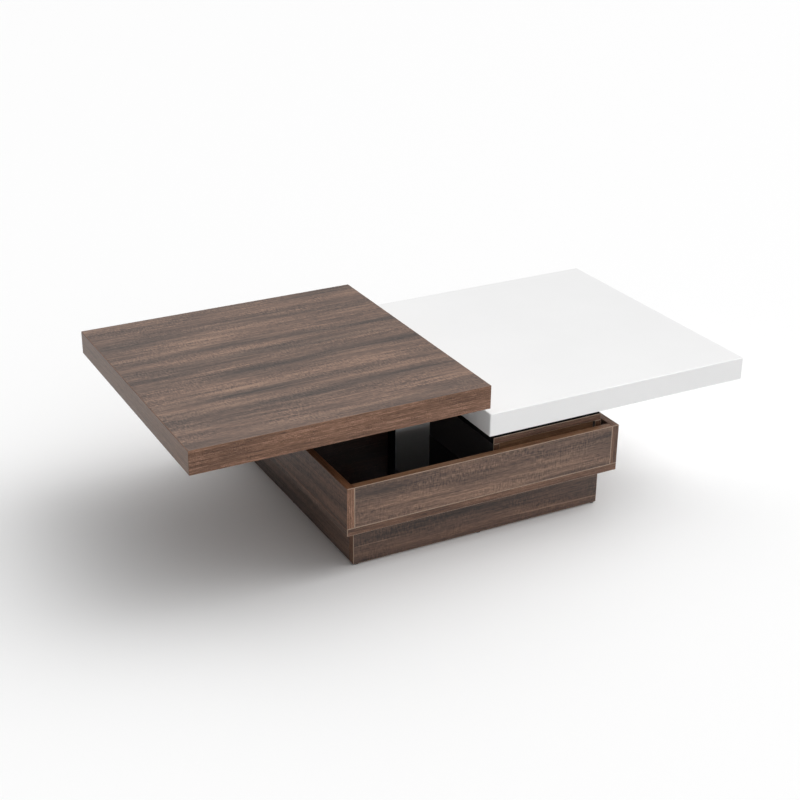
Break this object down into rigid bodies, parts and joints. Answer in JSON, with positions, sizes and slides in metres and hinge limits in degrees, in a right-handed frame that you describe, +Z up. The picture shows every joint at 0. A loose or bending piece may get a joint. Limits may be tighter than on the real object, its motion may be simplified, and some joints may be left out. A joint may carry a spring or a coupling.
{
  "type": "swivel coffee table",
  "caption": "Low coffee table with a square storage tray on a recessed plinth and square white and walnut tops at different heights, each swivelling on a box in a corner of the tray.",
  "frame": {"origin": "on the floor, under the middle of the tray, which is the bottom centre of the bounding box with both tops turned out", "axes": "+X from the walnut top to the white top, along the longest extent; +Y to the back; +Z up, normal to the tops"},
  "size_m": [1.4, 0.7, 0.381],
  "materials": {
    "walnut_melamine": "satin melamine with a dark walnut grain",
    "walnut_edge_band": "satin edge band with a fine walnut grain",
    "white_lacquer": "high-gloss white lacquer",
    "black_gloss_sheet": "high-gloss black sheet",
    "black_melamine": "satin black melamine",
    "raw_particleboard": "raw pressed wood",
    "honeycomb_paper": "kraft paper honeycomb",
    "beech_dowel": "fluted beech",
    "pressed_steel": "black coated pressed steel",
    "ball_steel": "polished",
    "zinc_steel": "zinc plated",
    "cage_plastic": "natural moulded nylon",
    "glide_plastic": "moulded"
  },
  "bodies": {
    "base": {"board_screws": "zinc_steel", "dowels": "beech_dowel", "floor_glides": "glide_plastic", "high_box_back_panel": "walnut_melamine", "high_box_front_panel": "walnut_melamine", "high_box_left_panel": "black_melamine", "high_box_right_panel": "black_melamine", "high_box_top_board": "walnut_melamine", "low_box_back_panel": "walnut_melamine", "low_box_front_panel": "walnut_melamine", "low_box_left_panel": "black_melamine", "low_box_right_panel": "black_melamine", "low_box_top_board": "walnut_melamine", "lower_plate_screws": "zinc_steel", "plinth_back_board": "walnut_melamine", "plinth_brace": "raw_particleboard", "plinth_corner_blocks": "raw_particleboard", "plinth_front_board": "walnut_melamine", "plinth_left_board": "walnut_melamine", "plinth_right_board": "walnut_melamine", "plinth_screws": "zinc_steel", "tray_back_panel": "walnut_melamine", "tray_bottom_board": "walnut_melamine", "tray_floor_liner": "black_gloss_sheet", "tray_front_panel": "walnut_melamine", "tray_left_panel": "walnut_melamine", "tray_right_panel": "walnut_melamine", "walnut_bearing_rivet": "pressed_steel", "walnut_lower_plate": "pressed_steel", "walnut_packer_board": "black_melamine", "white_bearing_rivet": "pressed_steel", "white_lower_plate": "pressed_steel", "white_packer_board": "black_melamine"},
    "white_top": {"white_plate_screws": "zinc_steel", "white_upper_plate": "pressed_steel", "white_lower_skin": "white_lacquer", "white_upper_skin": "white_lacquer", "white_front_rail": "raw_particleboard", "white_back_rail": "raw_particleboard", "white_left_rail": "raw_particleboard", "white_right_rail": "raw_particleboard", "white_pivot_block": "raw_particleboard", "white_core": "honeycomb_paper", "white_edge_bands": "white_lacquer"},
    "white_ball_ring": {"white_ball_cage": "cage_plastic", "white_balls": "ball_steel"},
    "walnut_top": {"walnut_plate_screws": "zinc_steel", "walnut_upper_plate": "pressed_steel", "walnut_lower_skin": "walnut_melamine", "walnut_upper_skin": "walnut_melamine", "walnut_front_rail": "raw_particleboard", "walnut_back_rail": "raw_particleboard", "walnut_left_rail": "raw_particleboard", "walnut_right_rail": "raw_particleboard", "walnut_pivot_block": "raw_particleboard", "walnut_core": "honeycomb_paper", "walnut_edge_bands": "walnut_edge_band"},
    "walnut_ball_ring": {"walnut_ball_cage": "cage_plastic", "walnut_balls": "ball_steel"}
  },
  "joints": [
    {"name": "white_top_swivel", "type": "hinge", "parent": "base", "child": "white_top", "pos_m": [0.175, -0.175, 0.2495], "axis": [0, 0, 1], "range_deg": [-182, 2]},
    {"name": "walnut_top_swivel", "type": "hinge", "parent": "base", "child": "walnut_top", "pos_m": [-0.175, 0.175, 0.3195], "axis": [0, 0, 1], "continuous": true},
    {"name": "white_ball_ring_turn", "type": "hinge", "parent": "base", "child": "white_ball_ring", "pos_m": [0.175, -0.175, 0.2495], "axis": [0, 0, 1], "range_deg": [-92, 2]},
    {"name": "walnut_ball_ring_turn", "type": "hinge", "parent": "base", "child": "walnut_ball_ring", "pos_m": [-0.175, 0.175, 0.3195], "axis": [0, 0, 1], "continuous": true}
  ],
  "couplings": [
    {"joint": "white_ball_ring_turn", "follows": "white_top_swivel", "ratio": 0.5},
    {"joint": "walnut_ball_ring_turn", "follows": "walnut_top_swivel", "ratio": 0.5}
  ]
}
